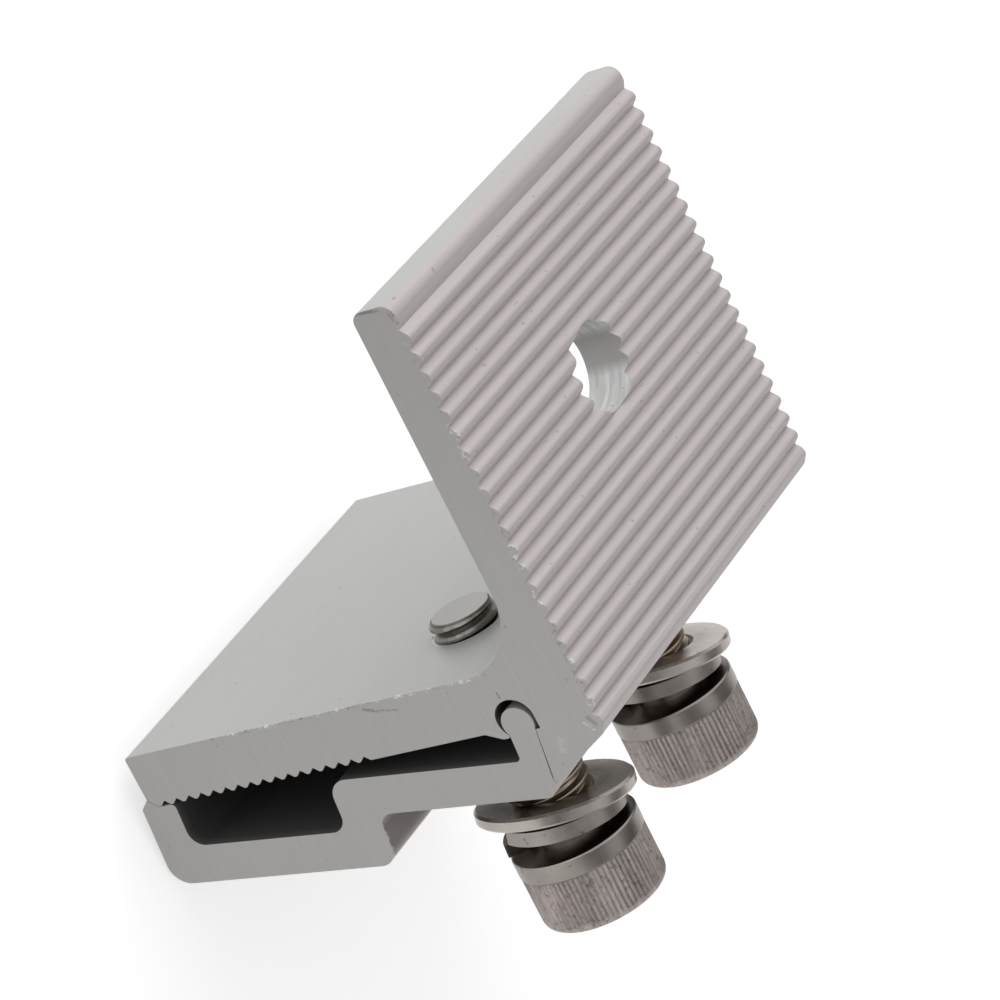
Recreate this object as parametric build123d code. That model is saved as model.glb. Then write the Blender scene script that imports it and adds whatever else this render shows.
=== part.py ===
from build123d import *
import math
import os

# A standing seam clamp, in millimetres, as it sits on a roof seam: platform on top, jaws hanging below.
# +Z is up, Y runs along the extrusions, and the screws lie along X with their heads towards +X.
# The origin is the middle of the platform's hole, level with the tops of the ribs.

# Clamp body: one extruded bar, a ribbed platform on top of a toothed jaw
clamp_length = 50.8
clamp_height = 52.75
platform_reach = 20.0
platform_thickness = 4.8
platform_corner = 1.1
platform_nose = 1.3
platform_nose_drop = 0.42
hole_diameter = 9.0
jaw_offset = 16.7
jaw_thickness = 5.78
jaw_fillet = 7.5
jaw_end_edge = 0.4
jaw_end_chamfer = 0.93

# Ribs across the top of the platform
rib_pitch = 2.0
rib_depth = 0.76
rib_count = 20
rib_shoulder = 0.25
rib_margin = 2.6
rib_edge = 0.3
first_groove_slope = 0.75
last_rib_width = 2.3
last_rib_round = 0.6

# Teeth along the inside of the jaw
tooth_pitch = 1.519
tooth_depth = 0.52
tooth_groove_width = 1.2
tooth_groove_count = 17
tooth_margin = 1.93

# Hinge: a bulb on the swinging jaw rolls in a socket in the clamp body
bulb_radius = 1.7
bulb_inset = 0.37
bulb_drop = 8.79
socket_clearance = 0.36
socket_play = 0.52
rest_tilt = 5.9
swing_angle = 1.0

# Lips of the socket: a nose under the neck and a tail over it, which stops the swing
nose_reach = 0.85
nose_height = 0.75
nose_slope_height = 1.7
nose_edge = 0.15
nose_round = 0.6
nose_gap = 0.06
tail_gap = 0.04
tail_root = 0.75
tail_length = 6.0
tail_tip_width = 0.35
tail_edge = 0.3

# Swinging jaw: one extruded bar, measured out and down from the middle of its bulb while it hangs straight
neck_top_root = 1.62
neck_top_end = 1.24
neck_under_root = 1.34
neck_under_end = 1.22
neck_corner = 1.35
neck_fillet = 0.5
strap_inner = 3.93
strap_thickness = 4.1
pocket_floor = 9.5
pocket_top = 22.8
pocket_height = 18.0
floor_thickness = 4.12
step_thickness = 4.1
lip_thickness = 3.97
pocket_mouth_round = 2.0
pocket_fillet = 1.65
step_fillet = 1.4
step_corner = 1.9
foot_corner = 2.2
lip_edge = 0.5
lip_gap = 0.05

# Screws, socket head, with the shank at the root of its thread
screw_length = 25.0
screw_root_radius = 3.4
screw_crest_radius = 3.95
screw_tip_radius = 2.95
screw_tip_bevel = 0.45
tapped_clearance = 0.05
head_radius = 6.52
head_height = 8.0
head_band = 2.0
head_band_step = 0.05
head_round = 1.1
head_round_steps = 5
head_bevel = 0.2
hexagon_across_flats = 6.0
hexagon_depth = 4.0
screw_height = 17.81
front_screw_inset = 12.1
rear_screw_inset = 13.9
front_head_standoff = 10.57
rear_head_standoff = 9.92
strap_hole_clearance = 0.65

# Washers: a spring washer on the screw's head and a flat washer on that, both lying loose and askew
flat_washer_radius = 7.95
flat_washer_thickness = 1.35
flat_washer_edge = 0.25
flat_washer_bore_clearance = 0.45
flat_washer_tilt = 7.6
spring_washer_radius = 6.3
spring_washer_bore_clearance = 0.3
spring_washer_thickness = 1.5
spring_washer_rise = 2.4
spring_washer_split = 228.0
spring_washer_cut = 1.75
spring_washer_slant = 20.0
stack_lean = 4.6
stack_side = 243.6
stack_middle = 2.5
stack_sag = 0.25
seat_gap = 0.02

# Places worked out from the sizes above
jaw_outer_x = jaw_offset
jaw_inner_x = jaw_outer_x + jaw_thickness
jaw_end_z = -clamp_height
bulb_x = jaw_inner_x - bulb_inset
bulb_z = -bulb_drop
socket_radius = bulb_radius + socket_clearance
socket_x = bulb_x - socket_play
strap_outer = strap_inner + strap_thickness
pocket_bottom = pocket_top + pocket_height
foot_outer = pocket_floor + floor_thickness
foot_drop = pocket_bottom + lip_thickness
front_screw_y = front_screw_inset - clamp_length / 2
rear_screw_y = clamp_length / 2 - rear_screw_inset


def hang(reach, drop, tilt=rest_tilt):
    """A point of the swinging jaw in X and Z, given out and down from its bulb while it hangs straight."""
    angle = math.radians(tilt)
    x = bulb_x + reach * math.cos(angle) - drop * math.sin(angle)
    z = bulb_z - reach * math.sin(angle) - drop * math.cos(angle)
    return (x, z)


def rounded(corners, close=False):
    """Straight runs through corners given as X, Z and radius. The ends of an open run have no radius."""
    points = [(x, z) for x, z, radius in corners]
    radii = [radius for x, z, radius in corners]
    if close:
        return FilletPolyline(*points, radius=radii, close=True)
    return FilletPolyline(*points, radius=radii[1:-1])


def bar(section):
    """An extruded bar of the clamp's length, with its section drawn in X and Z."""
    return extrude(Plane.XZ * section, clamp_length / 2, both=True)


def bore(y, radius, tilt=0.0):
    """A drill through both jaws at one screw, tilted with the swinging jaw if asked."""
    drill = Cylinder(radius, clamp_height)
    return Pos(jaw_inner_x, y, -screw_height) * Rot(0, 90 + tilt, 0) * drill


# Clamp body

def rib_outline():
    """The platform's top from its free edge to the last rib: sharp grooves between round ribs."""
    first_groove = rib_margin - platform_reach
    edges = []
    for rib in range(rib_count):
        start = first_groove + rib * rib_pitch
        quarter = rib_pitch / 4
        left = (start + quarter, -rib_shoulder)
        right = (start + 3 * quarter, -rib_shoulder)
        edges.append(Line((start, -rib_depth), left))
        edges.append(ThreePointArc(left, (start + 2 * quarter, 0), right))
        edges.append(Line(right, (start + rib_pitch, -rib_depth)))
    return edges


def tail_line(reach):
    """A point on the tail's underside, which the top of the neck meets at the end of its swing."""
    share = reach / strap_outer
    height = neck_top_root + (neck_top_end - neck_top_root) * share + tail_gap
    return hang(reach, -height, rest_tilt - swing_angle)


def body_outline():
    """The section of the clamp body, from the last rib round the hinge and down the jaw."""
    first_groove = rib_margin - platform_reach
    last_groove = first_groove + rib_count * rib_pitch
    last_crest = last_groove + last_rib_width / 2
    platform_end = last_groove + last_rib_width
    tail_x, tail_z = tail_line(tail_length + tail_tip_width)
    roof_z = bulb_z + socket_radius
    ledge_x, ledge_z = tail_line(tail_root)
    nose_x = jaw_inner_x + nose_reach
    nose_share = (nose_x - bulb_x) / strap_inner
    nose_drop = neck_under_root + (neck_under_end - neck_under_root) * nose_share
    nose_z = hang(nose_x - bulb_x, nose_drop)[1] - nose_gap
    nose_depth = bulb_z - nose_z
    nose_root = (socket_x + math.sqrt(socket_radius**2 - nose_depth**2), nose_z)
    socket = ThreePointArc((socket_x, roof_z), (socket_x - socket_radius, bulb_z), nose_root)
    hinge = rounded([
        (last_groove, -rib_depth, 0),
        (last_groove + rib_pitch / 4, -rib_shoulder, rib_edge),
        (last_crest, 0, last_rib_round),
        (platform_end, -rib_depth, last_rib_round),
        (tail_x, tail_z + tail_tip_width, tail_edge),
        (tail_x - tail_tip_width / 2, tail_z, 0),
        (ledge_x, ledge_z, 0),
        (ledge_x, roof_z, 0),
        (socket_x, roof_z, 0),
    ])
    jaw = rounded([
        (*nose_root, 0),
        (nose_x, nose_z, nose_edge),
        (nose_x, nose_z - nose_height, nose_round),
        (jaw_inner_x, nose_z - nose_height - nose_slope_height, nose_round),
        (jaw_inner_x, jaw_end_z + jaw_end_chamfer, 0),
        (jaw_inner_x - jaw_end_chamfer, jaw_end_z, 0),
        (jaw_outer_x, jaw_end_z, jaw_end_edge),
        (jaw_outer_x, -platform_thickness, jaw_fillet),
        (-platform_reach, -platform_thickness, platform_corner),
        (-platform_reach, -platform_nose_drop, platform_nose),
        (first_groove - first_groove_slope, -platform_nose_drop, rib_edge),
        (first_groove, -rib_depth, 0),
    ])
    return rib_outline() + [hinge, socket, jaw]


def tooth_grooves():
    """The V grooves between the teeth, as prisms that stand a little proud of the toothed face."""
    half = tooth_groove_width / 2
    grooves = []
    for tooth in range(tooth_groove_count):
        z = jaw_end_z + tooth_margin + tooth * tooth_pitch
        notch = make_face(Polyline(
            (jaw_inner_x - tooth_depth, z),
            (jaw_inner_x, z + half),
            (jaw_inner_x + half, z + half),
            (jaw_inner_x + half, z - half),
            (jaw_inner_x, z - half),
            close=True,
        ))
        grooves.append(bar(notch))
    return grooves


def upper_jaw():
    body = bar(make_face(body_outline()))
    body -= tooth_grooves()
    body -= Cylinder(hole_diameter / 2, 4 * platform_thickness)
    for y in (front_screw_y, rear_screw_y):
        body -= bore(y, screw_root_radius + tapped_clearance)
    return body


# Swinging jaw

def lip_face(drop):
    """A point on the lip's face, which lies along the teeth when the jaws are closed."""
    angle = math.radians(rest_tilt)
    reach = (bulb_inset + lip_gap + drop * math.sin(angle)) / math.cos(angle)
    return hang(reach, drop)


def lower_jaw():
    diagonal_gap = lip_gap * math.sqrt(0.5)
    hook_x = jaw_inner_x - jaw_end_chamfer + diagonal_gap
    hook_z = jaw_end_z - diagonal_gap
    lip_x, lip_z = lip_face(foot_drop)
    outline = rounded([
        (*hang(0, -neck_top_root), 0),
        (*hang(strap_outer, -neck_top_end), neck_corner),
        (*hang(strap_outer, pocket_top - step_thickness), step_fillet),
        (*hang(foot_outer, pocket_top - step_thickness), step_corner),
        (*hang(foot_outer, foot_drop), foot_corner),
        (lip_x - lip_gap, lip_z, 0),
        (hook_x, hook_z, 0),
        (jaw_inner_x + lip_gap, jaw_end_z + jaw_end_chamfer, 0),
        (*lip_face(pocket_bottom), lip_edge),
        (*hang(pocket_floor, pocket_bottom), pocket_fillet),
        (*hang(pocket_floor, pocket_top), pocket_fillet),
        (*hang(strap_inner, pocket_top), pocket_mouth_round),
        (*hang(strap_inner, neck_under_end), neck_fillet),
        (*hang(0, neck_under_root), 0),
    ], close=True)
    jaw = bar(make_face(outline))
    jaw += bar(Pos(bulb_x, bulb_z) * Circle(bulb_radius))
    for y in (front_screw_y, rear_screw_y):
        jaw -= bore(y, screw_crest_radius + strap_hole_clearance, rest_tilt)
    return jaw


# Screws and washers, drawn upright on the bearing face of the screw's head, with the tip at the top

def screw():
    top = screw_length
    band = head_radius + head_band_step
    outline = [
        (0, top),
        (screw_tip_radius, top),
        (screw_root_radius, top - screw_tip_bevel),
        (screw_root_radius, 0),
        (band - head_bevel, 0),
        (band, -head_bevel),
        (band, -head_band),
        (head_radius, -head_band - head_band_step),
    ]
    for step in range(head_round_steps + 1):
        angle = math.radians(90 * step / head_round_steps)
        radius = head_radius - head_round * (1 - math.cos(angle))
        outline.append((radius, -head_height + head_round * (1 - math.sin(angle))))
    outline.append((0, -head_height))
    body = revolve(Plane.XZ * make_face(Polyline(*outline, close=True)), Axis.Z)
    hexagon = RegularPolygon(hexagon_across_flats / 2, 6, major_radius=False)
    return body - Pos(0, 0, -head_height) * extrude(hexagon, hexagon_depth)


def spring_washer():
    """One left-hand turn of square wire, split by a slanted cut."""
    inner = screw_crest_radius + spring_washer_bore_clearance
    middle = (inner + spring_washer_radius) / 2
    wire = Rectangle(spring_washer_radius - inner, spring_washer_thickness)
    base = (0, 0, spring_washer_thickness / 2)
    turn = Helix(spring_washer_rise, spring_washer_rise, middle, base, lefthand=True)
    start = Plane(origin=turn @ 0, x_dir=(1, 0, 0), z_dir=(0, -1, 0))
    coil = sweep(start * wire, turn, is_frenet=True)
    height = spring_washer_rise + spring_washer_thickness
    saw = Box(2 * spring_washer_radius, spring_washer_cut, 4 * height)
    saw = Pos(spring_washer_radius, 0, height / 2) * Rot(-spring_washer_slant, 0, 0) * saw
    return Rot(0, 0, spring_washer_split) * (coil - saw)


def flat_washer_lift():
    """Height of the flat washer's underside, at the middle, where it first touches the spring washer."""
    slope = math.tan(math.radians(flat_washer_tilt))
    lift = 0
    for turned in range(360):
        coil_top = spring_washer_thickness + spring_washer_rise * turned / 360
        across = math.cos(math.radians(spring_washer_split - turned - stack_side))
        for radius in (screw_crest_radius, spring_washer_radius):
            lift = max(lift, coil_top - radius * slope * across)
    return lift + seat_gap


def flat_washer():
    disc = Cylinder(flat_washer_radius, flat_washer_thickness)
    disc = chamfer(disc.edges().filter_by(GeomType.CIRCLE), flat_washer_edge)
    disc -= Cylinder(screw_crest_radius + flat_washer_bore_clearance, 2 * flat_washer_thickness)
    disc = Pos(0, 0, flat_washer_thickness / 2) * disc
    return Pos(0, 0, flat_washer_lift()) * raised(flat_washer_tilt) * disc


def raised(angle):
    """A turn that lifts the high side of the washers by this angle."""
    return Rot(0, 0, stack_side) * Rot(0, -angle, 0) * Rot(0, 0, -stack_side)


def stacked(washer):
    """Leans a washer with its stack, sags it against the screw and sets the stack on the head."""
    lean = Pos(-stack_sag, 0, stack_middle) * raised(stack_lean) * Pos(0, 0, -stack_middle)
    lowest = (lean * spring_washer()).bounding_box().min.Z
    return Pos(0, 0, seat_gap - lowest) * lean * washer


def strap_face_x():
    """Where a screw's axis passes the outer face of the strap."""
    angle = math.radians(rest_tilt)
    drop = (bulb_z - strap_outer * math.sin(angle) + screw_height) / math.cos(angle)
    return hang(strap_outer, drop)[0]


def place(piece, y, head_standoff):
    """Puts an upright piece on the screw at this place along the clamp, with its tip towards -X."""
    head_x = strap_face_x() + head_standoff
    return Plane(origin=(head_x, y, -screw_height), x_dir=(0, 0, 1), z_dir=(-1, 0, 0)) * piece


# Every piece goes to its own file

os.makedirs("parts", exist_ok=True)
export_step(upper_jaw(), "parts/upper_jaw.step")
export_step(lower_jaw(), "parts/lower_jaw.step")

fasteners = {
    "screw": screw(),
    "spring_washer": stacked(spring_washer()),
    "flat_washer": stacked(flat_washer()),
}
screw_places = {
    "front": (front_screw_y, front_head_standoff),
    "rear": (rear_screw_y, rear_head_standoff),
}
for end, (y, head_standoff) in screw_places.items():
    for name, piece in fasteners.items():
        export_step(place(piece, y, head_standoff), f"parts/{name}_{end}.step")
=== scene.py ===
import math

import bmesh
import bpy
from mathutils import Matrix, Vector

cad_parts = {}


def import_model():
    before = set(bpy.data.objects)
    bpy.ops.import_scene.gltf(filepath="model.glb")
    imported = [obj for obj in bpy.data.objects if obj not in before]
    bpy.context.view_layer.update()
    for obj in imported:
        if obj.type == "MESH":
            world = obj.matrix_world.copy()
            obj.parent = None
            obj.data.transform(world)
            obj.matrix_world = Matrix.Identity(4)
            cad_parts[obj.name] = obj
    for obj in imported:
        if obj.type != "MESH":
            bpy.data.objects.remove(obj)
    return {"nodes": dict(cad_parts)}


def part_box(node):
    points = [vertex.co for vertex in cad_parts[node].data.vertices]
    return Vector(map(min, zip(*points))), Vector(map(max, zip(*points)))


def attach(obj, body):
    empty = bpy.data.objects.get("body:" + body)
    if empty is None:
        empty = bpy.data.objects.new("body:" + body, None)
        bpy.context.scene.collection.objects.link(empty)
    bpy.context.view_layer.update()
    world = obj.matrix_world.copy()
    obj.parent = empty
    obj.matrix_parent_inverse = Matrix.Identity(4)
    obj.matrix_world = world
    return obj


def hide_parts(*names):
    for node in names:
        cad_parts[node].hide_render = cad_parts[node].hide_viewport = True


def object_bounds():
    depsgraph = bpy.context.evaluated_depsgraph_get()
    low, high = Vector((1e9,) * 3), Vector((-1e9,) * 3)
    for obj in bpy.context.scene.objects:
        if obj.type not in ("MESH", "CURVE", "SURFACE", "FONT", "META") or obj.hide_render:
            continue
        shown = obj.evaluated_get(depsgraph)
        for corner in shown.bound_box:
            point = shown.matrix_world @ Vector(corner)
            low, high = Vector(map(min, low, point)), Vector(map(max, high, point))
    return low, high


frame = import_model()
cad_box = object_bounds()

MM = 0.001

# Camera: the photograph's place, aim and roll, and its lens on a 36 mm sensor
CAMERA_PLACE = Vector((-124.626, -338.950, 226.837)) * MM
CAMERA_TURN = (20.2387, -53.6239, 43.6544)
CAMERA_LENS = 165.462
CAMERA_SENSOR = 36.0

# The table that the photographed clamp stands on, screw heads down: the way up from it
TABLE_UP = Vector((-0.849, 0.0, 0.528))

# Clamp body: the toothed jaw's two faces, the hinge's axis, the swinging jaw's tilt in degrees and the ends
JAW_OUTER_X = 16.7 * MM
JAW_INNER_X = 22.48 * MM
BULB_X = 22.11 * MM
BULB_Z = -8.79 * MM
REST_TILT = 5.9
HALF_LENGTH = 25.4 * MM

# The screws' axes, and how much painted shade their washers and the undersides of their heads get
SCREW_Z = -17.81 * MM
SCREW_Y = {"front": -13.3 * MM, "rear": 11.5 * MM}
WASHER_SHADE = {"front": 0.95, "rear": 0.45}
HEAD_SHADE = 0.55

# Swinging jaw: how far down from the hinge its outer ledge and the middle of its pocket lie
LEDGE_DROP = 18.7 * MM
POCKET_DROP = 31.8 * MM

# The square of a radius just outside the platform's hole
BORE_LIMIT = (4.6 * MM) ** 2

# Screw thread and head
THREAD_PITCH = 1.25 * MM
THREAD_START = 1.1825 * MM
THREAD_CREST = 3.95 * MM
THREAD_ROOT = 3.30 * MM
THREAD_MOUTH = 3.43 * MM
THREAD_TAPER = 0.4 * MM
TIP_ROOT = 3.06 * MM
TIP_RADIUS = 2.95 * MM
SHANK_LENGTH = 25.0 * MM
HEAD_RADIUS = 6.52 * MM
HEAD_HEIGHT = 8.0 * MM
HEAD_BAND = 2.0 * MM
HEAD_ROUND = 1.1 * MM
KNURL_COUNT = 76
KNURL_DEPTH = 0.16 * MM
HEXAGON_APOTHEM = 3.0 * MM
HEXAGON_DEPTH = 4.0 * MM
THREAD_STEPS = 96
KNURL_STEPS = 6
HEAD_ROUND_STEPS = 6

# Colours, in linear light
SIDE_TONES = ((0.525, 0.53, 0.515), (0.56, 0.565, 0.55), (0.575, 0.58, 0.565))
RIB_TONES = ((0.558, 0.515, 0.507), (0.604, 0.56, 0.551))
END_TONES = ((0.487, 0.47, 0.455), (0.517, 0.50, 0.485))
# Painted shade laid into the clamp body's recesses and insides
INSIDE_SHADE = (0.035, 0.035, 0.034)
BORE_TONES = ((0.60, 0.61, 0.60), (0.86, 0.87, 0.86))
WASHER_STEEL = ((0.40, 0.365, 0.335), (0.48, 0.445, 0.415), (0.56, 0.52, 0.49))
COIL_STEEL = ((0.29, 0.265, 0.248), (0.35, 0.32, 0.30), (0.17, 0.155, 0.143))
HEAD_STEEL = ((0.265, 0.24, 0.22), (0.33, 0.305, 0.285), (0.38, 0.35, 0.33))
KNURL_TONES = ((0.30, 0.26, 0.25), (0.41, 0.36, 0.342))
BRIGHT_CHIP = (0.95, 0.95, 0.95)

# The steel's roughness, from its cleanest to its most stained
WASHER_ROUGHNESS = (0.24, 0.34)
COIL_ROUGHNESS = (0.30, 0.40)
HEAD_ROUGHNESS = (0.26, 0.36)


# Small helpers for materials

class Nodes:
    """A material's node tree, with short calls for the nodes used here."""

    def __init__(self, name):
        self.material = bpy.data.materials.new(name)
        self.material.use_nodes = True
        self.tree = self.material.node_tree
        self.shader = self.tree.nodes["Principled BSDF"]

    def new(self, kind, **settings):
        node = self.tree.nodes.new(kind)
        for key, value in settings.items():
            setattr(node, key, value)
        return node

    def link(self, output, socket):
        self.tree.links.new(output, socket)

    def put(self, socket, value):
        """Sets a socket to a number or colour, or links an output to it."""
        if isinstance(value, bpy.types.NodeSocket):
            self.link(value, socket)
        else:
            socket.default_value = value

    def math(self, operation, a, b=0.0):
        node = self.new("ShaderNodeMath", operation=operation)
        self.put(node.inputs[0], a)
        self.put(node.inputs[1], b)
        return node.outputs[0]

    def mix(self, share, a, b):
        node = self.new("ShaderNodeMix", data_type="RGBA")
        self.put(node.inputs[0], share)
        self.put(node.inputs[6], a)
        self.put(node.inputs[7], b)
        return node.outputs[2]

    def between(self, value, low, high, to_low=0.0, to_high=1.0):
        """A value carried over from one range to another, and held at its ends."""
        node = self.new("ShaderNodeMapRange")
        for socket, number in zip(node.inputs[1:5], (low, high, to_low, to_high)):
            socket.default_value = number
        self.link(value, node.inputs[0])
        return node.outputs[0]

    def place(self):
        return self.new("ShaderNodeTexCoord").outputs["Object"]

    def stretched(self, scale, turn=(0.0, 0.0, 0.0)):
        """Object coordinates times scale, in cells per metre."""
        node = self.new("ShaderNodeMapping")
        node.inputs["Scale"].default_value = scale
        node.inputs["Rotation"].default_value = [math.radians(a) for a in turn]
        self.link(self.place(), node.inputs[0])
        return node.outputs[0]

    def noise(self, scale, detail=2.0, rough=0.5, turn=(0.0, 0.0, 0.0)):
        node = self.new("ShaderNodeTexNoise")
        node.inputs["Scale"].default_value = 1.0
        node.inputs["Detail"].default_value = detail
        node.inputs["Roughness"].default_value = rough
        self.link(self.stretched(scale, turn), node.inputs["Vector"])
        return node.outputs[0]

    def bump(self, height, strength, distance, normal=None):
        node = self.new("ShaderNodeBump")
        node.inputs["Strength"].default_value = strength
        node.inputs["Distance"].default_value = distance
        self.link(height, node.inputs["Height"])
        if normal is not None:
            self.link(normal, node.inputs["Normal"])
        return node.outputs[0]


def normal_parts(nodes):
    """The parts along X, Y and Z of a face's direction in the piece's own axes."""
    turned = nodes.new("ShaderNodeVectorTransform", vector_type="NORMAL",
                       convert_from="WORLD", convert_to="OBJECT")
    nodes.link(nodes.new("ShaderNodeNewGeometry").outputs["Normal"], turned.inputs[0])
    split = nodes.new("ShaderNodeSeparateXYZ")
    nodes.link(turned.outputs[0], split.inputs[0])
    return split.outputs


def place_parts(nodes):
    """The place along X, Y and Z in the piece's own axes."""
    split = nodes.new("ShaderNodeSeparateXYZ")
    nodes.link(nodes.place(), split.inputs[0])
    return split.outputs


def near(nodes, value, target, full, none):
    """1 where a value is within full of the target, falling to 0 at none."""
    away = nodes.math("ABSOLUTE", nodes.math("SUBTRACT", value, target))
    return nodes.between(away, full, none, 1.0, 0.0)


def both(nodes, *masks):
    """The product of masks."""
    product = masks[0]
    for mask in masks[1:]:
        product = nodes.math("MULTIPLY", product, mask)
    return product


def two_tones(nodes, share, tones):
    """From the first tone to the second by a share."""
    return nodes.mix(share, (*tones[0], 1), (*tones[1], 1))


def from_axis(nodes, y, z, screw_y):
    """The distance from a screw's axis."""
    dy = nodes.math("SUBTRACT", y, screw_y)
    dz = nodes.math("SUBTRACT", z, SCREW_Z)
    squares = nodes.math("ADD", nodes.math("MULTIPLY", dy, dy), nodes.math("MULTIPLY", dz, dz))
    return nodes.math("SQRT", squares)


def stroke(nodes, across, along, start, end, width):
    """A short straight mark between two points of a face."""
    length = math.hypot(end[0] - start[0], end[1] - start[1])
    step = ((end[0] - start[0]) / length, (end[1] - start[1]) / length)
    dx = nodes.math("SUBTRACT", across, start[0] * MM)
    dz = nodes.math("SUBTRACT", along, start[1] * MM)
    run = nodes.math("ADD", nodes.math("MULTIPLY", dx, step[0]), nodes.math("MULTIPLY", dz, step[1]))
    side = nodes.math("SUBTRACT", nodes.math("MULTIPLY", dx, step[1]), nodes.math("MULTIPLY", dz, step[0]))
    half = length * MM / 2
    in_length = near(nodes, run, half, half, half + 0.15 * MM)
    return both(nodes, in_length, near(nodes, side, 0.0, 0.4 * width * MM, width * MM))


def paint(nodes, tone, share, colour):
    return nodes.mix(share, tone, (*colour, 1))


# Marks on the front end of the clamp body: start and end in X and Z, half width, strength and colour
END_MARKS = (
    ((17.25, -24.0), (17.75, -22.6), 0.22, 0.55, (0.16, 0.15, 0.14)),
    ((17.75, -22.4), (18.05, -20.4), 0.16, 0.45, (0.20, 0.19, 0.18)),
    ((18.6, -9.35), (19.3, -9.25), 0.13, 0.6, (0.10, 0.09, 0.09)),
    ((22.9, -1.5), (23.9, -0.9), 0.30, 0.45, (0.20, 0.19, 0.18)),
    ((23.4, -2.1), (24.3, -1.4), 0.16, 0.6, (0.92, 0.92, 0.92)),
    ((-19.9, -4.2), (-19.7, -1.8), 0.20, 0.6, (0.12, 0.11, 0.11)),
    ((-19.2, -1.0), (-18.4, -0.8), 0.14, 0.4, (0.15, 0.14, 0.13)),
    ((-12.1, -4.1), (-11.5, -3.9), 0.12, 0.35, (0.20, 0.19, 0.18)),
    ((24.4, -5.2), (25.9, -5.6), 0.60, 0.25, (0.75, 0.75, 0.73)),
)


# Marks on the clamp body's outer face in Y and Z, and on its ribs in X and Y
FACE_MARK = ((-14.6, -21.2), (-14.05, -21.5), 0.16, 0.95, (0.01, 0.01, 0.01))
RIB_MARK = ((18.1, 12.45), (18.3, 12.6), 0.14, 0.8, (0.05, 0.05, 0.05))


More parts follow.
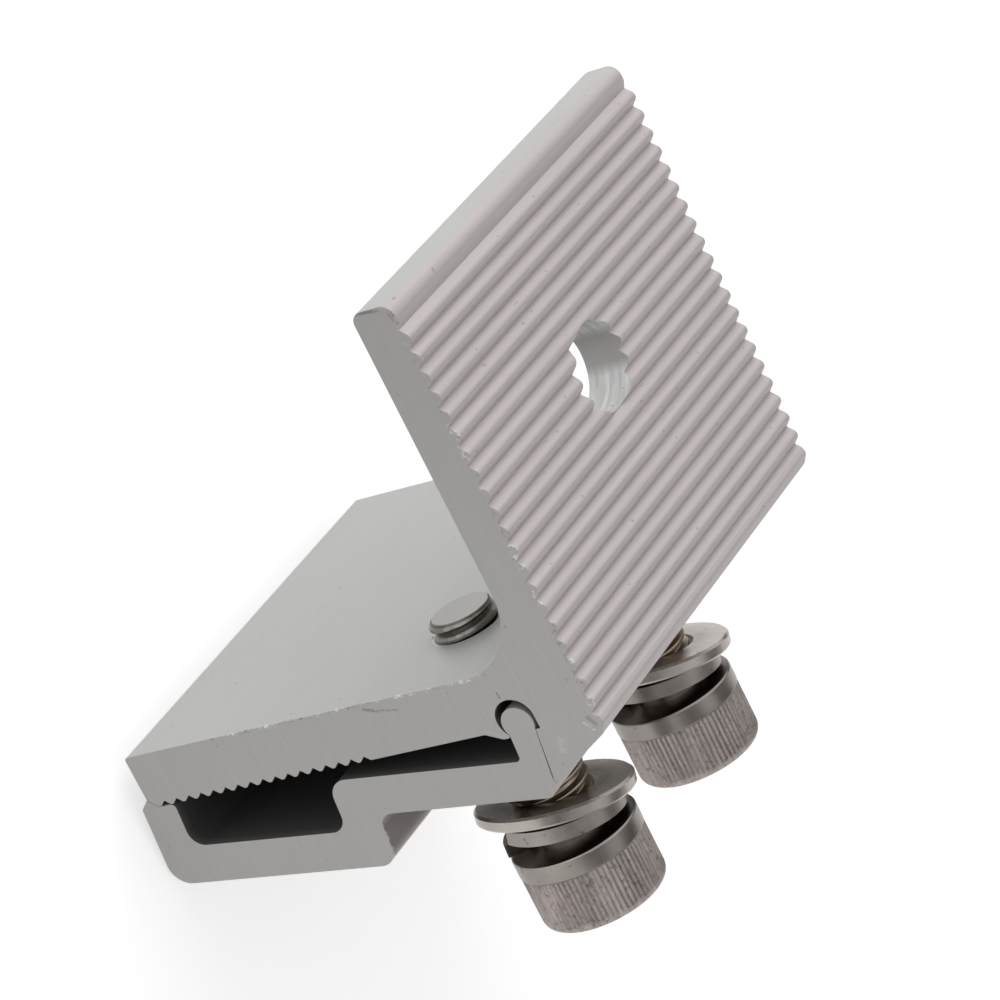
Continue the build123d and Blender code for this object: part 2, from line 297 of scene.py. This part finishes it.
def aluminium(name, swinging):
    """Satin extrusion with faint die lines along Y, finely sawn ends, nicked edges, and rougher insides
    darkened with painted shade; also painted shade under the ledge and a painted highlight round the screw
    holes.
    """
    n = Nodes(name)
    x, y, z = place_parts(n)
    toward_x, toward_y, toward_z = normal_parts(n)
    ends = n.between(n.math("ABSOLUTE", toward_y), 0.85, 0.95)
    sides = n.math("SUBTRACT", 1.0, ends)
    top = both(n, sides, n.between(toward_z, 0.15, 0.5))
    die_lines = n.noise((2600, 14, 2600), 3.0, 0.6)
    broad = n.noise((120, 5, 120), 2.0)
    grain = n.noise((3200, 3200, 3200), 2.0, 0.6)
    clouds = n.noise((60, 60, 60), 3.0)
    drill_lines = n.noise((200, 200, 2600), 3.0, 0.6)
    saw = n.noise((150, 150, 4200), 3.0, 0.6, (0, 38, 0))
    specks = n.between(n.noise((1500, 1100, 1500), 1.0), 0.74, 0.76)
    chips = n.noise((2400, 2400, 2400), 2.0, 0.6)

    side_tone = two_tones(n, n.between(die_lines, 0.3, 0.7), SIDE_TONES)
    side_tone = n.mix(n.between(broad, 0.35, 0.65, 0.0, 0.35), side_tone, (*SIDE_TONES[2], 1))
    rib_tone = two_tones(n, n.between(die_lines, 0.3, 0.7), RIB_TONES)
    end_tone = two_tones(n, n.between(saw, 0.3, 0.7), END_TONES)
    end_tone = paint(n, end_tone, n.between(x, -20.0 * MM, 22.0 * MM, 0.35, 0.0), (0.30, 0.30, 0.30))
    from_middle = n.math("ADD", n.math("MULTIPLY", x, x), n.math("MULTIPLY", y, y))
    bore = n.between(from_middle, BORE_LIMIT, 1.02 * BORE_LIMIT, 1.0, 0.0)
    side_tone = n.mix(bore, side_tone, two_tones(n, n.between(drill_lines, 0.35, 0.65), BORE_TONES))
    tone = n.mix(ends, n.mix(top, side_tone, rib_tone), end_tone)
    tone = paint(n, tone, n.between(clouds, 0.35, 0.7, 0.0, 0.10), (0.38, 0.36, 0.35))
    tone = paint(n, tone, n.math("MULTIPLY", specks, 0.4), (0.22, 0.20, 0.19))

    front = n.between(y, -HALF_LENGTH + 0.02 * MM, -HALF_LENGTH + 0.05 * MM, 1.0, 0.0)
    rim = n.between(n.math("ABSOLUTE", y), HALF_LENGTH - 0.3 * MM, HALF_LENGTH - 0.1 * MM)
    if swinging:
        tilt = math.radians(REST_TILT)
        dx = n.math("SUBTRACT", x, BULB_X)
        dz = n.math("SUBTRACT", z, BULB_Z)
        cos, sin = math.cos(tilt), math.sin(tilt)
        reach = n.math("SUBTRACT", n.math("MULTIPLY", dx, cos), n.math("MULTIPLY", dz, sin))
        drop = n.math("ADD", n.math("MULTIPLY", dx, sin), n.math("MULTIPLY", dz, cos))
        drop = n.math("MULTIPLY", drop, -1.0)
        strap = both(n, n.between(reach, 4.2 * MM, 4.6 * MM, 1.0, 0.0), n.between(drop, 0.6 * MM, 1.6 * MM))
        pocket = both(n, near(n, drop, POCKET_DROP, 9.3 * MM, 9.5 * MM),
                      n.between(reach, 9.9 * MM, 10.3 * MM, 1.0, 0.0))
        inside = both(n, sides, n.math("MAXIMUM", strap, pocket))
        # Painted shade on the underside of the outer ledge.
        under_shade = both(n, sides, near(n, drop, LEDGE_DROP, 0.2 * MM, 0.6 * MM),
                     n.between(reach, 8.0 * MM, 8.4 * MM))
        tone = paint(n, tone, n.math("MULTIPLY", under_shade, 0.6), (0.22, 0.20, 0.18))
        nick = both(n, rim, sides, near(n, drop, LEDGE_DROP, 0.3 * MM, 0.9 * MM),
                    n.between(reach, 8.0 * MM, 8.6 * MM))
        bright = both(n, nick, n.between(chips, 0.5, 0.56))
    else:
        face = n.between(x, JAW_INNER_X - 0.9 * MM, JAW_INNER_X - 0.6 * MM)
        below = n.between(z, BULB_Z - 1.2 * MM, BULB_Z - 0.8 * MM, 1.0, 0.0)
        socket = both(n, n.between(x, BULB_X - 3.2 * MM, BULB_X - 2.8 * MM),
                      near(n, z, BULB_Z, 2.0 * MM, 2.3 * MM))
        inside = both(n, sides, n.math("MAXIMUM", both(n, face, below), socket))
        near_edge = both(n, near(n, x, JAW_OUTER_X, 0.1 * MM, 0.35 * MM),
                         n.between(z, -43.0 * MM, -42.0 * MM), n.between(z, -10.0 * MM, -9.0 * MM, 1.0, 0.0))
        rib_ends = n.between(z, -0.9 * MM, -0.7 * MM)
        worn = n.noise((420, 420, 420), 2.0)
        edges = both(n, n.math("MAXIMUM", near_edge, n.math("MULTIPLY", rib_ends, 0.6)), rim)
        bright = both(n, edges, n.between(chips, 0.54, 0.60), n.between(worn, 0.52, 0.58))
        dark = both(n, edges, n.between(chips, 0.44, 0.40), n.between(worn, 0.5, 0.44))
        tone = paint(n, tone, n.math("MULTIPLY", dark, 0.6), (0.10, 0.09, 0.09))
        for start, end, width, share, colour in END_MARKS:
            mark = both(n, front, stroke(n, x, z, start, end, width), n.between(chips, 0.36, 0.5))
            tone = paint(n, tone, n.math("MULTIPLY", mark, share), colour)
        outer = n.between(toward_x, -0.9, -0.7, 1.0, 0.0)
        for where, across, along, one_mark in ((outer, y, z, FACE_MARK), (top, x, y, RIB_MARK)):
            start, end, width, share, colour = one_mark
            mark = both(n, where, stroke(n, across, along, start, end, width))
            tone = paint(n, tone, n.math("MULTIPLY", mark, share), colour)
        for y_screw in SCREW_Y.values():
            away = from_axis(n, y, z, y_screw)
            # A painted highlight on the rim of each screw hole in the outer face.
            rim_highlight = both(n, near(n, away, 3.62 * MM, 0.05 * MM, 0.2 * MM), outer)
            tone = paint(n, tone, n.math("MULTIPLY", rim_highlight, 0.5), (0.86, 0.86, 0.85))
    tone = paint(n, tone, n.math("MULTIPLY", bright, 0.8), BRIGHT_CHIP)
    mouth = n.between(n.math("ABSOLUTE", y), HALF_LENGTH - 1.2 * MM, HALF_LENGTH, 0.95, 0.85)
    # Painted shade: the pocket, the strap's inner side, the socket and the face by the hinge are darkened, a
    # little less near the open ends.
    tone = paint(n, tone, both(n, inside, mouth), INSIDE_SHADE)

    n.put(n.shader.inputs["Base Color"], tone)
    n.put(n.shader.inputs["Metallic"], n.between(inside, 0.0, 1.0, 0.30, 0.0))
    rough = n.math("ADD", n.between(die_lines, 0.2, 0.8, 0.44, 0.52), n.math("MULTIPLY", inside, 0.3))
    n.put(n.shader.inputs["Roughness"], n.math("ADD", rough, n.math("MULTIPLY", ends, 0.06)))
    height = n.new("ShaderNodeMix", data_type="FLOAT")
    n.put(height.inputs[0], ends)
    n.put(height.inputs[2], die_lines)
    n.put(height.inputs[3], saw)
    normal = n.bump(height.outputs[0], 0.12, 0.02 * MM)
    normal = n.bump(grain, 0.2, 0.01 * MM, normal)
    n.put(n.shader.inputs["Normal"], normal)
    return n.material


def steel(name, tones, rough, axis_y, painted_shade, head_x=None):
    """Plated steel with turned lines and stains. Washers have painted shade in a ring round the screw. With
    head_x it is a screw's: painted shade on the bearing face, a pitted knurl, a brown shank and a worn tip
    with painted shade in its thread groove."""
    n = Nodes(name)
    x, y, z = place_parts(n)
    toward_x = normal_parts(n)[0]
    away = from_axis(n, y, z, axis_y)
    turned = n.noise((9000, 240, 240), 2.0, 0.6)
    stains = n.noise((330, 330, 330), 3.0, 0.6)
    grain = n.noise((4200, 4200, 4200), 2.0, 0.6)
    specks = n.between(n.noise((1300, 1300, 1300), 1.0), 0.72, 0.75)
    tone = two_tones(n, n.between(stains, 0.3, 0.7), tones)
    tone = paint(n, tone, n.between(turned, 0.5, 0.8, 0.0, 0.35), tones[2])
    tone = paint(n, tone, n.math("MULTIPLY", specks, 0.5), (0.08, 0.07, 0.06))
    roughness = n.between(stains, 0.2, 0.8, *rough)
    height = turned
    if head_x is None:
        # Painted shade: the washers' flat faces are darkened in a ring round the screw.
        flat = n.between(n.math("ABSOLUTE", toward_x), 0.7, 0.9)
        shaded_ring = both(n, flat, n.between(away, 5.2 * MM, 7.8 * MM, 1.0, 0.0),
                     n.between(stains, 0.3, 0.6, 0.6, 1.0))
        tone = paint(n, tone, n.math("MULTIPLY", shaded_ring, painted_shade), (0.07, 0.055, 0.045))
    else:
        knurl = head_x + HEAD_BAND
        # Painted shade on the head's bearing face next to the washer.
        bearing = both(n, n.between(toward_x, -0.9, -0.7, 1.0, 0.0), near(n, x, head_x, 0.1 * MM, 0.2 * MM))
        tone = paint(n, tone, n.math("MULTIPLY", bearing, painted_shade), (0.06, 0.05, 0.04))
        round_side = n.between(n.math("ABSOLUTE", toward_x), 0.75, 0.9, 1.0, 0.0)
        gripped = both(n, n.between(x, knurl, knurl + 0.15 * MM), round_side)
        streaks = n.noise((260, 1900, 1900), 2.0, 0.6)
        pits = n.between(n.noise((2400, 2400, 2400), 2.0, 0.5), 0.55, 0.66)
        patchy = n.between(stains, 0.35, 0.65, 0.25, 0.75)
        tone = n.mix(gripped, tone, two_tones(n, n.between(streaks, 0.35, 0.65), KNURL_TONES))
        tone = paint(n, tone, both(n, gripped, pits, patchy), (0.13, 0.11, 0.105))
        roughness = n.math("ADD", roughness, n.math("MULTIPLY", gripped, 0.12))
        height = n.math("ADD", turned, n.math("MULTIPLY", both(n, gripped, pits), -2.0))
        line = near(n, x, knurl - 0.02 * MM, 0.02 * MM, 0.14 * MM)
        tone = paint(n, tone, n.math("MULTIPLY", line, 0.6), (0.10, 0.07, 0.05))
        shank = both(n, n.between(x, head_x - 0.3 * MM, head_x - 0.2 * MM, 1.0, 0.0),
                     n.between(x, 26.0 * MM, 27.0 * MM))
        tone = paint(n, tone, both(n, shank, n.between(stains, 0.35, 0.6, 0.2, 0.8)), (0.30, 0.22, 0.14))
        tip = n.between(x, 20.0 * MM, 21.0 * MM, 1.0, 0.0)
        tone = paint(n, tone, n.math("MULTIPLY", tip, 0.8), (0.31, 0.30, 0.283))
        worn = both(n, tip, round_side, n.between(stains, 0.46, 0.58, 0.0, 0.65))
        tone = paint(n, tone, worn, (0.11, 0.09, 0.07))
        # Painted shade in the thread's groove on the tip.
        groove_shade = both(n, tip, round_side, n.between(away, 3.12 * MM, 3.24 * MM, 1.0, 0.0))
        tone = paint(n, tone, n.math("MULTIPLY", groove_shade, 0.75), (0.06, 0.055, 0.05))
    n.put(n.shader.inputs["Base Color"], tone)
    n.put(n.shader.inputs["Metallic"], 1.0)
    n.put(n.shader.inputs["Roughness"], roughness)
    normal = n.bump(height, 0.25, 0.01 * MM)
    normal = n.bump(grain, 0.15, 0.008 * MM, normal)
    n.put(n.shader.inputs["Normal"], normal)
    return n.material


# Screws: built upright with the bearing face at 0, the shank up and the head down

def ring(mesh, height, radius_at, steps):
    """A ring of points about the upright axis, with the radius given by the angle."""
    points = []
    for step in range(steps):
        angle = 2 * math.pi * step / steps
        radius = radius_at(angle)
        points.append(mesh.verts.new((radius * math.cos(angle), radius * math.sin(angle), height)))
    return points


def skin(mesh, rings):
    """Faces between each ring and the next."""
    for low, high in zip(rings, rings[1:]):
        count = len(low)
        for i in range(count):
            j = (i + 1) % count
            mesh.faces.new((low[i], low[j], high[j], high[i]))


def knurled(radius, depth):
    """A radius with fine V grooves across it."""
    def at(angle):
        wave = 0.5 - 0.5 * math.cos(KNURL_COUNT * angle)
        return radius - depth * wave
    return at


def hexagon(growth=0.0):
    """The radius of the hexagon socket's wall."""
    def at(angle):
        turned = (angle + math.pi / 6) % (math.pi / 3) - math.pi / 6
        return HEXAGON_APOTHEM / math.cos(turned) + growth
    return at


def constant(radius):
    """The radius of a circle."""
    return lambda angle: radius


def add_head(mesh):
    """The head, from its bearing face at 0 to the bottom of its hexagon socket."""
    steps = KNURL_COUNT * KNURL_STEPS
    band = HEAD_RADIUS + 0.05 * MM
    outline = [
        (0.0, constant(THREAD_ROOT)),
        (0.0, constant(band - 0.22 * MM)),
        (-0.05 * MM, constant(band - 0.09 * MM)),
        (-0.2 * MM, constant(band)),
        (-0.26 * MM, constant(band)),
        (-HEAD_BAND + 0.18 * MM, constant(band)),
        (-HEAD_BAND + 0.12 * MM, constant(band)),
        (-HEAD_BAND, constant(band - 0.03 * MM)),
        (-HEAD_BAND - 0.06 * MM, knurled(HEAD_RADIUS, KNURL_DEPTH)),
    ]
    for step in range(HEAD_ROUND_STEPS + 1):
        angle = math.pi / 2 * step / HEAD_ROUND_STEPS
        radius = HEAD_RADIUS - HEAD_ROUND * (1 - math.cos(angle))
        height = -HEAD_HEIGHT + HEAD_ROUND * (1 - math.sin(angle))
        outline.append((height, knurled(radius, KNURL_DEPTH * max(0.0, 1 - step / 3.5))))
    outline += [
        (-HEAD_HEIGHT, hexagon(0.25 * MM)),
        (-HEAD_HEIGHT + 0.2 * MM, hexagon()),
        (-HEAD_HEIGHT + HEXAGON_DEPTH, hexagon()),
        (-HEAD_HEIGHT + HEXAGON_DEPTH, constant(0.95 * HEXAGON_APOTHEM)),
        (-HEAD_HEIGHT + HEXAGON_DEPTH + 0.8 * MM, constant(0.05 * MM)),
    ]
    rings = [ring(mesh, height, radius_at, steps) for height, radius_at in outline]
    skin(mesh, rings[::-1])
    mesh.faces.new(rings[-1])


def add_shank(mesh, mouth):
    """The thread's core and the tip. It narrows at the mouth of the hole in the clamp body."""
    outline = [
        (0.0, THREAD_ROOT),
        (mouth, THREAD_ROOT),
        (mouth + THREAD_TAPER, TIP_ROOT),
        (SHANK_LENGTH - 0.12 * MM, TIP_ROOT),
        (SHANK_LENGTH - 0.05 * MM, TIP_RADIUS + 0.02 * MM),
        (SHANK_LENGTH, TIP_RADIUS - 0.05 * MM),
        (SHANK_LENGTH, 0.02 * MM),
    ]
    rings = [ring(mesh, height, constant(radius), THREAD_STEPS) for height, radius in outline]
    skin(mesh, rings)
    mesh.faces.new(rings[-1])


def thread_radii(height, mouth):
    """The thread's root and crest: full up to the hole, within the hole after that, and cut by the bevel."""
    share = min(1.0, max(0.0, (height - mouth) / THREAD_TAPER))
    root = THREAD_ROOT + (TIP_ROOT - THREAD_ROOT) * share
    crest = THREAD_CREST + (THREAD_MOUTH - THREAD_CREST) * share
    bevel = TIP_RADIUS + 1.1 * (SHANK_LENGTH - height)
    return root - 0.02 * MM, max(root - 0.02 * MM, min(crest, bevel))


def add_thread(mesh, mouth):
    """A right-hand ridge wound round the shank."""
    turns = (SHANK_LENGTH + 0.1 * MM - THREAD_START) / THREAD_PITCH
    half_profile = ((0.09, 1), (0.14, 0.95), (0.36, 0.06), (0.44, 0))
    profile = [(-offset, raised) for offset, raised in half_profile[::-1]] + list(half_profile)
    previous = None
    for step in range(int(turns * THREAD_STEPS) + 1):
        angle = 2 * math.pi * step / THREAD_STEPS
        middle = THREAD_START + THREAD_PITCH * step / THREAD_STEPS
        grown = min(1.0, 2 * step / THREAD_STEPS)
        points = []
        for offset, raised in profile:
            height = min(middle + offset * THREAD_PITCH, SHANK_LENGTH - 0.03 * MM)
            root, crest = thread_radii(height, mouth)
            radius = root + (crest - root) * raised * grown
            points.append(mesh.verts.new((radius * math.cos(angle), radius * math.sin(angle), height)))
        if previous:
            for i in range(len(profile) - 1):
                mesh.faces.new((previous[i], points[i], points[i + 1], previous[i + 1]))
        previous = points


def build_screw(node, body, material):
    """The screw with its thread, knurl and socket, in the place of the CAD one."""
    low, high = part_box(node)
    head_x = low[0] + SHANK_LENGTH
    middle_y = (low[1] + high[1]) / 2
    middle_z = (low[2] + high[2]) / 2
    mouth = head_x - JAW_INNER_X
    mesh = bmesh.new()
    add_head(mesh)
    add_shank(mesh, mouth)
    add_thread(mesh, mouth)
    upright = Matrix(((0, 0, -1, head_x), (0, 1, 0, middle_y), (1, 0, 0, middle_z), (0, 0, 0, 1)))
    bmesh.ops.transform(mesh, matrix=upright, verts=mesh.verts)
    data = bpy.data.meshes.new(node + "_detail")
    mesh.to_mesh(data)
    mesh.free()
    data.materials.append(material)
    for face in data.polygons:
        face.use_smooth = True
    data.set_sharp_from_angle(angle=math.radians(35))
    piece = bpy.data.objects.new(node + "_detail", data)
    bpy.context.scene.collection.objects.link(piece)
    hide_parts(node)
    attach(piece, body)


materials = {"upper_jaw": aluminium("satin_body", False), "lower_jaw": aluminium("satin_swinging", True)}
for end, axis_y in SCREW_Y.items():
    washer_shade = WASHER_SHADE[end]
    flat = steel("washer_steel_" + end, WASHER_STEEL, WASHER_ROUGHNESS, axis_y, washer_shade)
    spring = steel("coil_steel_" + end, COIL_STEEL, COIL_ROUGHNESS, axis_y, washer_shade)
    materials.update({"flat_washer_" + end: flat, "spring_washer_" + end: spring})

for name, node in frame["nodes"].items():
    if name in materials:
        node.data.materials.clear()
        node.data.materials.append(materials[name])

for end, axis_y in SCREW_Y.items():
    head_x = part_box("screw_" + end)[0][0] + SHANK_LENGTH
    finish = steel("screw_steel_" + end, HEAD_STEEL, HEAD_ROUGHNESS, axis_y, HEAD_SHADE, head_x)
    build_screw("screw_" + end, end + "_screw", finish)


# Floor, light and camera

# The room's brightness by height: 0 is straight down to the table, 0.5 its horizon and 1 straight up
ROOM_LEVELS = ((0.0, 0.42), (0.45, 0.38), (0.58, 0.36), (0.66, 0.55), (1.0, 0.55))

# Floor: half its width, its distance below the clamp, and what it adds for the rays that see it
FLOOR_HALF = 1.5
FLOOR_DROP = 0.5 * MM
FLOOR_GLOW = 0.55

# Dark cards: a ring about the table's up, from one height to the other
CARD_RADIUS = 0.75
CARD_HEIGHTS = (-0.10, 0.13)
CARD_STEPS = 48

# Lamps: place, width and height in metres, and power in watts. All point at the same spot.
LAMP_TARGET = Vector((0.01, 0.0, -0.02))
LAMPS = {
    "key": ((-0.52, 0.16, 0.32), (0.4, 0.4), 1.32),
    "front": ((-0.15, -0.62, 0.05), (0.4, 0.3), 0.28),
    "right": ((0.22, 0.0, 0.58), (0.3, 0.3), 0.10),
}


def matt(name, level):
    """A plain matt grey material."""
    material = bpy.data.materials.new(name)
    material.use_nodes = True
    shader = material.node_tree.nodes["Principled BSDF"]
    shader.inputs["Base Color"].default_value = (level, level, level, 1)
    shader.inputs["Roughness"].default_value = 0.9
    return material, shader


def stage_mesh(name, points, faces, material):
    """A mesh that belongs to the scene and not to the clamp."""
    data = bpy.data.meshes.new(name)
    data.from_pydata(points, [], faces)
    data.materials.append(material)
    piece = bpy.data.objects.new(name, data)
    bpy.context.scene.collection.objects.link(piece)
    return piece


def seen_rays(tree):
    """1 for the rays that show the background: those of the camera, of gloss and through glass."""
    path = tree.nodes.new("ShaderNodeLightPath")
    seen = path.outputs["Is Camera Ray"]
    for kind in ("Is Glossy Ray", "Is Transmission Ray"):
        either = tree.nodes.new("ShaderNodeMath")
        either.operation = "MAXIMUM"
        tree.links.new(seen, either.inputs[0])
        tree.links.new(path.outputs[kind], either.inputs[1])
        seen = either.outputs[0]
    return seen


def floor():
    """A pale floor that looks white where it is lit and keeps the clamp's shadow."""
    half = FLOOR_HALF
    z = cad_box[0][2] - FLOOR_DROP
    material, shader = matt("pale_floor", 0.8)
    tree = material.node_tree
    glow = tree.nodes.new("ShaderNodeEmission")
    tree.links.new(seen_rays(tree), glow.inputs["Strength"])
    glow.inputs["Color"].default_value = (FLOOR_GLOW, FLOOR_GLOW, FLOOR_GLOW, 1)
    total = tree.nodes.new("ShaderNodeAddShader")
    tree.links.new(shader.outputs[0], total.inputs[0])
    tree.links.new(glow.outputs[0], total.inputs[1])
    tree.links.new(total.outputs[0], tree.nodes["Material Output"].inputs[0])
    corners = [(-half, -half, z), (half, -half, z), (half, half, z), (-half, half, z)]
    stage_mesh("floor", corners, [(0, 1, 2, 3)], material)


def dark_cards():
    """A low ring of dark cards round the table's horizon. Only the gloss of the metal shows it."""
    material, _ = matt("dark_card", 0.03)
    up = TABLE_UP.normalized()
    along = Vector((0, 1, 0))
    across = up.cross(along)
    points = []
    faces = []
    for step in range(CARD_STEPS):
        angle = 2 * math.pi * step / CARD_STEPS
        out = CARD_RADIUS * (math.cos(angle) * along + math.sin(angle) * across)
        points += [out + CARD_HEIGHTS[0] * up, out + CARD_HEIGHTS[1] * up]
        following = (step + 1) % CARD_STEPS
        faces.append((2 * step, 2 * following, 2 * following + 1, 2 * step + 1))
    ring_of_cards = stage_mesh("dark_cards", points, faces, material)
    ring_of_cards.visible_camera = False
    ring_of_cards.visible_diffuse = False
    ring_of_cards.visible_shadow = False


def world():
    """White to see, and soft light from above the table."""
    room = bpy.data.worlds.new("room")
    bpy.context.scene.world = room
    room.use_nodes = True
    tree = room.node_tree
    back = tree.nodes["Background"]
    place = tree.nodes.new("ShaderNodeTexCoord")
    dot = tree.nodes.new("ShaderNodeVectorMath")
    dot.operation = "DOT_PRODUCT"
    dot.inputs[1].default_value = TABLE_UP
    tree.links.new(place.outputs["Generated"], dot.inputs[0])
    shift = tree.nodes.new("ShaderNodeMapRange")
    for socket, number in zip(shift.inputs[1:5], (-1.0, 1.0, 0.0, 1.0)):
        socket.default_value = number
    tree.links.new(dot.outputs["Value"], shift.inputs[0])
    ramp = tree.nodes.new("ShaderNodeValToRGB")
    ramp.color_ramp.elements.remove(ramp.color_ramp.elements[1])
    for number, (height, level) in enumerate(ROOM_LEVELS):
        stop = ramp.color_ramp.elements[0] if number == 0 else ramp.color_ramp.elements.new(height)
        stop.position = height
        stop.color = (level, level, level, 1)
    tree.links.new(shift.outputs[0], ramp.inputs[0])
    mix = tree.nodes.new("ShaderNodeMix")
    tree.links.new(seen_rays(tree), mix.inputs[0])
    tree.links.new(ramp.outputs[0], mix.inputs[2])
    mix.inputs[3].default_value = 1.0
    back.inputs[0].default_value = (1, 1, 1, 1)
    tree.links.new(mix.outputs[0], back.inputs[1])


def area_light(name, place, size, power):
    data = bpy.data.lights.new(name, "AREA")
    data.shape = "RECTANGLE"
    data.size, data.size_y = size
    data.energy = power
    lamp = bpy.data.objects.new(name, data)
    lamp.location = place
    lamp.rotation_euler = (LAMP_TARGET - Vector(place)).to_track_quat("-Z", "Y").to_euler()
    bpy.context.scene.collection.objects.link(lamp)


floor()
dark_cards()
world()
for lamp_name, (place, size, power) in LAMPS.items():
    area_light(lamp_name, place, size, power)

camera_data = bpy.data.cameras.new("camera")
camera_data.lens = CAMERA_LENS
camera_data.sensor_width = CAMERA_SENSOR
camera_data.clip_start = 0.01
camera = bpy.data.objects.new("camera", camera_data)
camera.location = CAMERA_PLACE
camera.rotation_euler = [math.radians(a) for a in CAMERA_TURN]
bpy.context.scene.collection.objects.link(camera)
bpy.context.scene.camera = camera
bpy.context.scene.view_settings.view_transform = "Standard"
